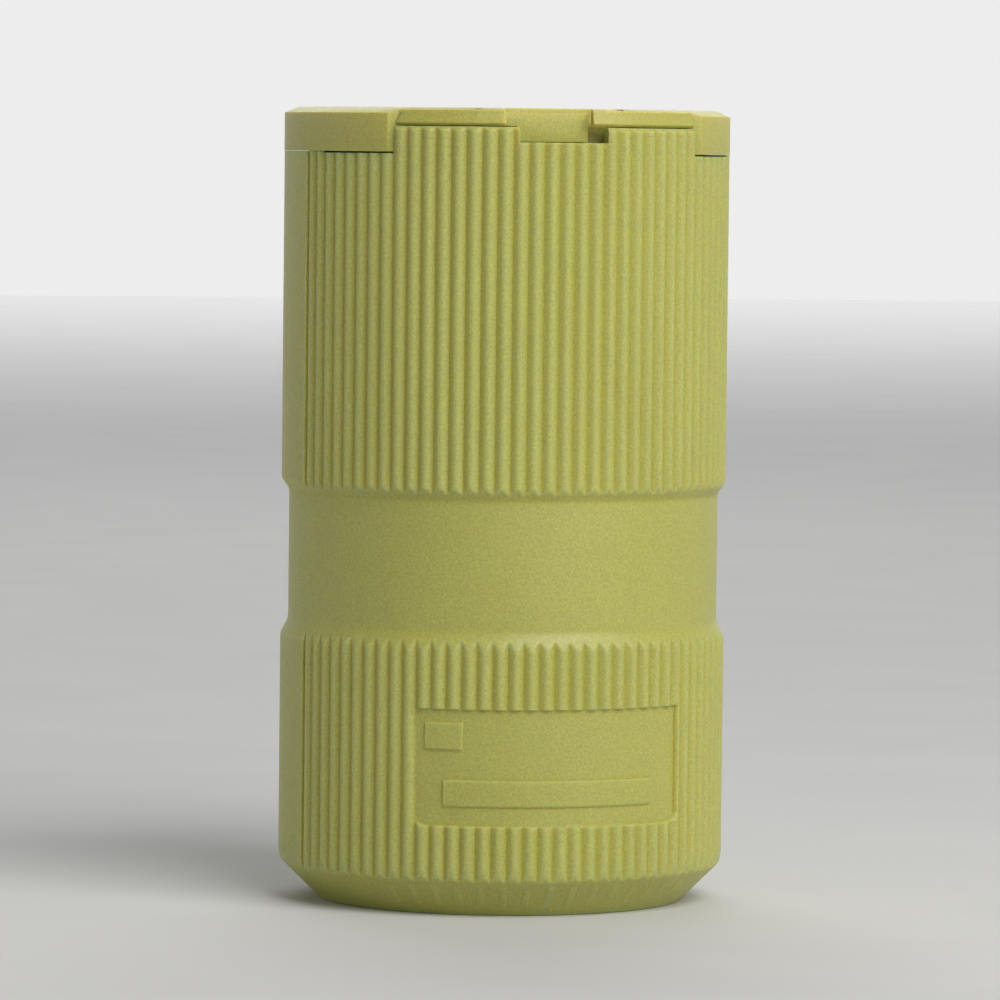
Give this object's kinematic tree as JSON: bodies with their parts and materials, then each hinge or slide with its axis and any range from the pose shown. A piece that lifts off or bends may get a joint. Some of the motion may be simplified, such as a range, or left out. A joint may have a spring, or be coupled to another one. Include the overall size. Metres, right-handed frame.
{
  "type": "locking cord connector",
  "caption": "Female locking cord connector: ribbed yellow housing with a waist, slotted mating face, and a sliding-jaw cord clamp at the other end.",
  "frame": {"origin": "centre of the mating face at the bevelled end, which is the bottom of the part", "axes": "+Z along the body's axis, from the mating face to the cord end; label pads face -Y and +Y; clamp jaws slide along X"},
  "size_m": [0.0508, 0.0508, 0.09],
  "materials": {
    "yellow_nylon": "satin moulded nylon",
    "ivory_nylon": "satin moulded nylon",
    "dark_nylon": "matt moulded nylon",
    "brass": "formed sheet",
    "plated_steel": "nickel plated",
    "green_screw": "dyed plating",
    "seal_rubber": "matt"
  },
  "bodies": {
    "housing": {"housing": "yellow_nylon", "face_plate": "ivory_nylon"},
    "interior": {"contact_carrier": "dark_nylon", "terminal_block": "dark_nylon", "clamp_yoke": "ivory_nylon", "cord_seal": "seal_rubber", "contact_line": "brass", "contact_neutral": "brass", "contact_ground": "brass", "yoke_insert_left": "brass", "yoke_insert_right": "brass"},
    "jaw_left": {"clamp_jaw_left": "yellow_nylon", "clamp_nut_front": "plated_steel"},
    "jaw_right": {"clamp_jaw_right": "yellow_nylon", "clamp_nut_back": "plated_steel"},
    "clamp_screw_front": {"clamp_screw_front": "plated_steel"},
    "clamp_screw_back": {"clamp_screw_back": "plated_steel"},
    "assembly_screw_left": {"assembly_screw_left": "plated_steel", "screw_retainer_left": "plated_steel"},
    "assembly_screw_right": {"assembly_screw_right": "plated_steel", "screw_retainer_right": "plated_steel"},
    "pressure_plate_ground": {"pressure_plate_ground": "plated_steel"},
    "terminal_screw_ground": {"terminal_screw_ground": "green_screw"},
    "pressure_plate_neutral": {"pressure_plate_neutral": "plated_steel"},
    "terminal_screw_neutral": {"terminal_screw_neutral": "plated_steel"},
    "pressure_plate_line": {"pressure_plate_line": "plated_steel"},
    "terminal_screw_line": {"terminal_screw_line": "brass"}
  },
  "joints": [
    {"name": "interior_lift", "type": "slide", "parent": "housing", "child": "interior", "axis": [0, 0, 1], "range_m": [0, 0.086]},
    {"name": "jaw_left_slide", "type": "slide", "parent": "interior", "child": "jaw_left", "axis": [1, 0, 0], "range_m": [0, 0.0019]},
    {"name": "jaw_right_slide", "type": "slide", "parent": "interior", "child": "jaw_right", "axis": [-1, 0, 0], "range_m": [0, 0.0019]},
    {"name": "clamp_screw_front_turn", "type": "hinge", "parent": "jaw_right", "child": "clamp_screw_front", "pos_m": [0, -0.0128, 0.0765], "axis": [-1, 0, 0], "range_deg": [0, 1954.3]},
    {"name": "clamp_screw_back_turn", "type": "hinge", "parent": "jaw_left", "child": "clamp_screw_back", "pos_m": [0, 0.0128, 0.0765], "axis": [1, 0, 0], "range_deg": [0, 1954.3]},
    {"name": "assembly_screw_left_turn", "type": "hinge", "parent": "housing", "child": "assembly_screw_left", "pos_m": [-0.0164, 0, 0], "axis": [0, 0, 1], "continuous": true},
    {"name": "assembly_screw_right_turn", "type": "hinge", "parent": "housing", "child": "assembly_screw_right", "pos_m": [0.0164, 0, 0], "axis": [0, 0, 1], "continuous": true},
    {"name": "pressure_plate_ground_slide", "type": "slide", "parent": "interior", "child": "pressure_plate_ground", "axis": [0, -1, 0], "range_m": [0, 0.002]},
    {"name": "terminal_screw_ground_turn", "type": "hinge", "parent": "pressure_plate_ground", "child": "terminal_screw_ground", "pos_m": [0, 0, 0.035], "axis": [0, -1, 0], "range_deg": [0, 1028.6]},
    {"name": "pressure_plate_neutral_slide", "type": "slide", "parent": "interior", "child": "pressure_plate_neutral", "axis": [0.8192, 0.5736, 0], "range_m": [0, 0.002]},
    {"name": "terminal_screw_neutral_turn", "type": "hinge", "parent": "pressure_plate_neutral", "child": "terminal_screw_neutral", "pos_m": [0, 0, 0.035], "axis": [0.8192, 0.5736, 0], "range_deg": [0, 1028.6]},
    {"name": "pressure_plate_line_slide", "type": "slide", "parent": "interior", "child": "pressure_plate_line", "axis": [-0.8192, 0.5736, 0], "range_m": [0, 0.002]},
    {"name": "terminal_screw_line_turn", "type": "hinge", "parent": "pressure_plate_line", "child": "terminal_screw_line", "pos_m": [0, 0, 0.035], "axis": [-0.8192, 0.5736, 0], "range_deg": [0, 1028.6]}
  ],
  "couplings": [
    {"joint": "jaw_right_slide", "follows": "jaw_left_slide", "ratio": 1},
    {"joint": "clamp_screw_front_turn", "follows": "jaw_left_slide", "rad_per_m": 17952},
    {"joint": "clamp_screw_back_turn", "follows": "jaw_left_slide", "rad_per_m": 17952},
    {"joint": "terminal_screw_ground_turn", "follows": "pressure_plate_ground_slide", "rad_per_m": 8976},
    {"joint": "terminal_screw_neutral_turn", "follows": "pressure_plate_neutral_slide", "rad_per_m": 8976},
    {"joint": "terminal_screw_line_turn", "follows": "pressure_plate_line_slide", "rad_per_m": 8976}
  ]
}
